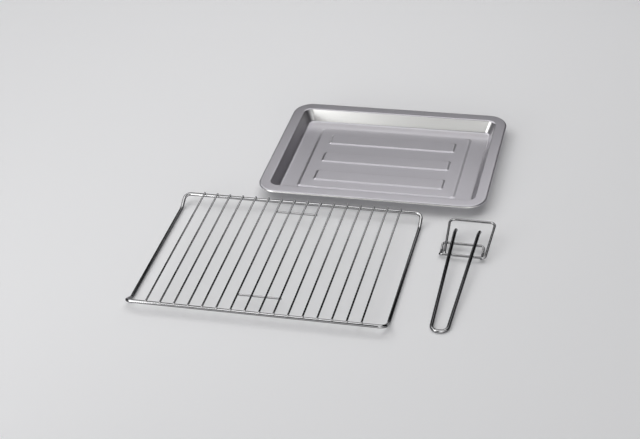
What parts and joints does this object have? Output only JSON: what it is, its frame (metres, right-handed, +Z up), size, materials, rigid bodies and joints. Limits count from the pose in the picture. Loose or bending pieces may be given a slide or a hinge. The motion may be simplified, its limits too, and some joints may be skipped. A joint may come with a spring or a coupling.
{
  "type": "oven rack and baking tray set",
  "caption": "Loose furniture of a countertop oven: a welded wire rack, a shallow pressed baking tray and a bent-wire tray gripper, laid out flat.",
  "frame": {"origin": "centre of the set's footprint, on the flat surface the three pieces stand on", "axes": "+Z up; +Y from the rack towards the tray behind it, along the rack's cross wires; +X from the rack towards the gripper"},
  "size_m": [0.4758, 0.5486, 0.0217],
  "materials": {
    "rack_wire": "bright plated wire",
    "gripper_wire": "bright plated wire",
    "tray_metal": "satin grey pressed sheet"
  },
  "bodies": {
    "tray": {"baking_tray": "tray_metal"},
    "rack": {"rack_cross_wire_01": "rack_wire", "rack_cross_wire_02": "rack_wire", "rack_cross_wire_03": "rack_wire", "rack_cross_wire_04": "rack_wire", "rack_cross_wire_05": "rack_wire", "rack_cross_wire_06": "rack_wire", "rack_cross_wire_07": "rack_wire", "rack_cross_wire_08": "rack_wire", "rack_cross_wire_09": "rack_wire", "rack_cross_wire_10": "rack_wire", "rack_cross_wire_11": "rack_wire", "rack_cross_wire_12": "rack_wire", "rack_cross_wire_13": "rack_wire", "rack_cross_wire_14": "rack_wire", "rack_cross_wire_15": "rack_wire", "rack_cross_wire_16": "rack_wire", "rack_frame": "rack_wire", "rack_front_tie_wire": "rack_wire", "rack_rear_tie_wire": "rack_wire"},
    "gripper": {"gripper_handle_wire": "gripper_wire", "gripper_head_wire": "gripper_wire"}
  },
  "joints": [
    {"name": "rack_lift_off", "type": "slide", "parent": "tray", "child": "rack", "axis": [0, 0, 1], "range_m": [0, 0.08]},
    {"name": "gripper_lift_off", "type": "slide", "parent": "tray", "child": "gripper", "axis": [0, 0, 1], "range_m": [0, 0.08]}
  ]
}
